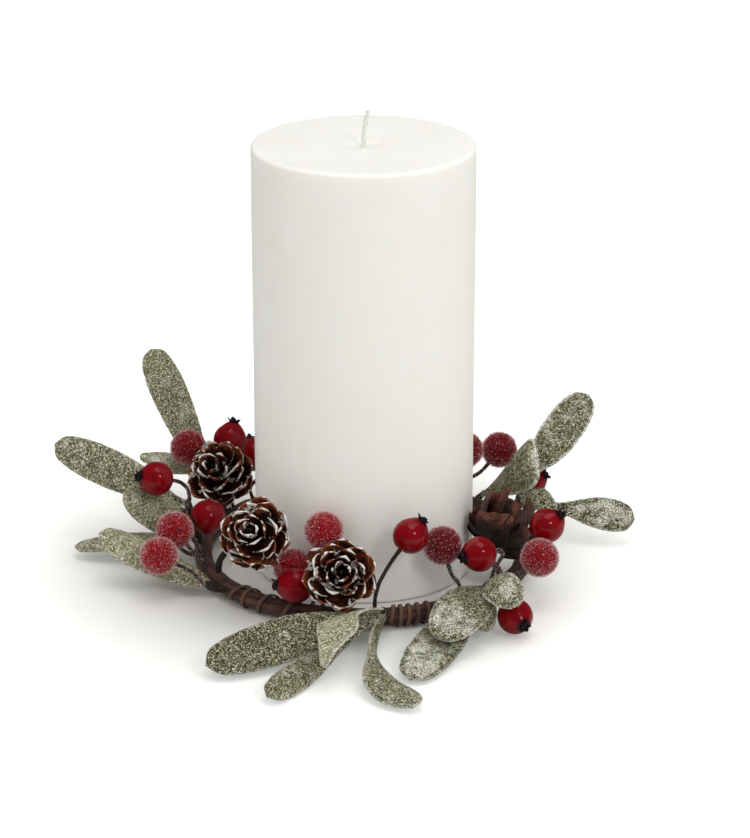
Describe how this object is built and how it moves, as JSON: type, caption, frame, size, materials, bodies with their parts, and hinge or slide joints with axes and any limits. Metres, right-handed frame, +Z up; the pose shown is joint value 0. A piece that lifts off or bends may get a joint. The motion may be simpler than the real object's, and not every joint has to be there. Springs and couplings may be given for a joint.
{
  "type": "candle ring",
  "caption": "Paper-wrapped wire ring with mistletoe leaves, frosted and glossy berries and snow-tipped cones on wired stems, laid around a pillar candle that lifts out.",
  "frame": {"origin": "on the table, at the axis of the candle and of the hoop", "axes": "+Z up along the candle, +X to the right and -Y towards the picture's camera"},
  "size_m": [0.2042, 0.2293, 0.1619],
  "materials": {
    "wax": "smooth ivory wax",
    "wick": "waxed braided cotton",
    "steel_wire": "plain drawn wire",
    "paper_wrap": "dark brown twisted paper",
    "twine": "brown twine",
    "stem_wire": "wire covered in dark brown paper",
    "twig": "green-brown twig",
    "green_leaf": "olive green with glitter",
    "frosted_leaf": "olive green under pale frost",
    "frosted_berry": "deep red under pale crystals",
    "glossy_berry": "bright red lacquer",
    "berry_crown": "near-black purple brown",
    "cone": "brown cone with white painted rims"
  },
  "bodies": {
    "ring": {"berry_crowns": "berry_crown", "berry_wires": "stem_wire", "cone_back": "cone", "cone_front": "cone", "cone_front_left": "cone", "cone_left": "cone", "cone_right": "cone", "cone_wires": "stem_wire", "frosted_berry_back": "frosted_berry", "frosted_berry_front_high": "frosted_berry", "frosted_berry_front_low": "frosted_berry", "frosted_berry_front_right": "frosted_berry", "frosted_berry_left_back": "frosted_berry", "frosted_berry_left_front": "frosted_berry", "frosted_berry_left_low": "frosted_berry", "frosted_berry_right": "frosted_berry", "frosted_berry_right_back": "frosted_berry", "frosted_berry_right_inner": "frosted_berry", "glossy_berry_back": "glossy_berry", "glossy_berry_front_high": "glossy_berry", "glossy_berry_front_low": "glossy_berry", "glossy_berry_front_right": "glossy_berry", "glossy_berry_left": "glossy_berry", "glossy_berry_left_back": "glossy_berry", "glossy_berry_left_high": "glossy_berry", "glossy_berry_left_inner": "glossy_berry", "glossy_berry_right": "glossy_berry", "glossy_berry_right_back": "glossy_berry", "glossy_berry_right_low": "glossy_berry", "hoop_wire": "steel_wire", "leaf_back_long": "green_leaf", "leaf_back_short": "green_leaf", "leaf_front_broad": "green_leaf", "leaf_front_folded": "green_leaf", "leaf_front_slim": "green_leaf", "leaf_front_twisted": "green_leaf", "leaf_left_back_small": "frosted_leaf", "leaf_left_back_tall": "green_leaf", "leaf_left_flat": "frosted_leaf", "leaf_left_front": "green_leaf", "leaf_left_long": "green_leaf", "leaf_left_round": "green_leaf", "leaf_right_back_folded": "green_leaf", "leaf_right_back_long": "frosted_leaf", "leaf_right_back_small": "green_leaf", "leaf_right_back_tall": "green_leaf", "leaf_right_front_broad": "frosted_leaf", "leaf_right_front_curled": "green_leaf", "leaf_right_front_long": "frosted_leaf", "leaf_right_front_small": "green_leaf", "mistletoe_twigs": "twig", "paper_wrap_left": "paper_wrap", "paper_wrap_right": "paper_wrap", "twine_back_left": "twine", "twine_back_right": "twine", "twine_front_left": "twine", "twine_front_right": "twine"},
    "candle": {"candle_wick": "wick", "pillar_candle": "wax"}
  },
  "joints": [
    {"name": "candle_lift", "type": "slide", "parent": "ring", "child": "candle", "axis": [0, 0, 1], "range_m": [0, 0.1]}
  ]
}
